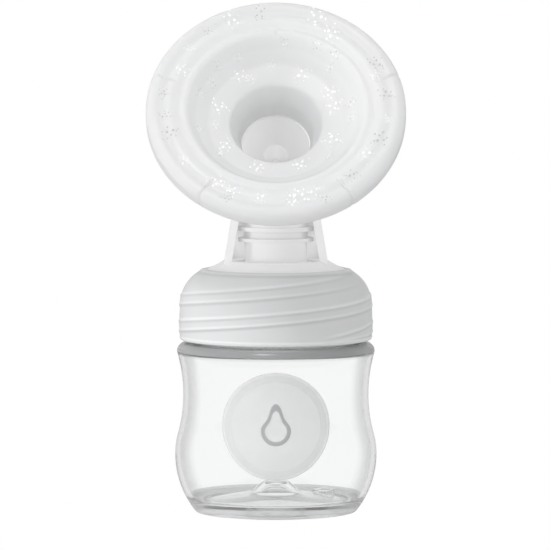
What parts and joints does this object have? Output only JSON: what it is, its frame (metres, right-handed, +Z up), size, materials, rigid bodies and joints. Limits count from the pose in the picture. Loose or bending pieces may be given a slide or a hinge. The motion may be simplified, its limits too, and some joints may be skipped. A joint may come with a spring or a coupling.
{
  "type": "breast pump",
  "caption": "Hand-operated breast pump: tilted soft cushion and funnel on a pump head with rear squeeze handle, screwed to a clear waisted baby bottle.",
  "frame": {"origin": "centre of the bottle's foot ring, on the plane it stands on", "axes": "+Z up the bottle axis; the breast cushion faces -Y, the handle is on +Y; X is left to right"},
  "size_m": [0.089, 0.1302, 0.1785],
  "materials": {
    "clear_bottle": "clear, glossy",
    "frosted_ring": "frosted, translucent grey",
    "milky_body": "milky white, satin gloss",
    "clear_silicone": "milky clear, soft sheen",
    "white_silicone": "white, soft sheen",
    "grey_silicone": "translucent grey, soft sheen",
    "white_stem": "white, satin",
    "handle_plastic": "milky white, satin gloss",
    "soft_grip": "pale grey, matte soft-touch"
  },
  "bodies": {
    "bottle_base": {"bottle": "clear_bottle"},
    "pump_head": {"pump_body": "milky_body", "breast_cushion": "clear_silicone", "duckbill_valve": "white_silicone", "diaphragm": "grey_silicone"},
    "ring": {"screw_ring": "frosted_ring"},
    "lever": {"handle": "handle_plastic", "handle_grip": "soft_grip"},
    "plunger": {"stem": "white_stem"}
  },
  "joints": [
    {"name": "head_lift", "type": "slide", "parent": "bottle_base", "child": "pump_head", "axis": [0, 0, 1], "range_m": [0, 0.0135]},
    {"name": "ring_turn", "type": "hinge", "parent": "pump_head", "child": "ring", "pos_m": [0, 0, 0.07], "axis": [0, 0, 1], "range_deg": [0, 360]},
    {"name": "handle_squeeze", "type": "hinge", "parent": "pump_head", "child": "lever", "pos_m": [0, 0.042, 0.15], "axis": [1, 0, 0], "range_deg": [-16, 0], "stiffness_Nm_per_rad": 0.3},
    {"name": "stem_pull", "type": "slide", "parent": "pump_head", "child": "plunger", "axis": [0, 0, 1], "range_m": [0, 0.0099], "deforming": ["diaphragm"]}
  ],
  "couplings": [
    {"joint": "ring_turn", "follows": "head_lift", "rad_per_m": 465.42},
    {"joint": "stem_pull", "follows": "handle_squeeze", "m_per_rad": -0.0351}
  ]
}
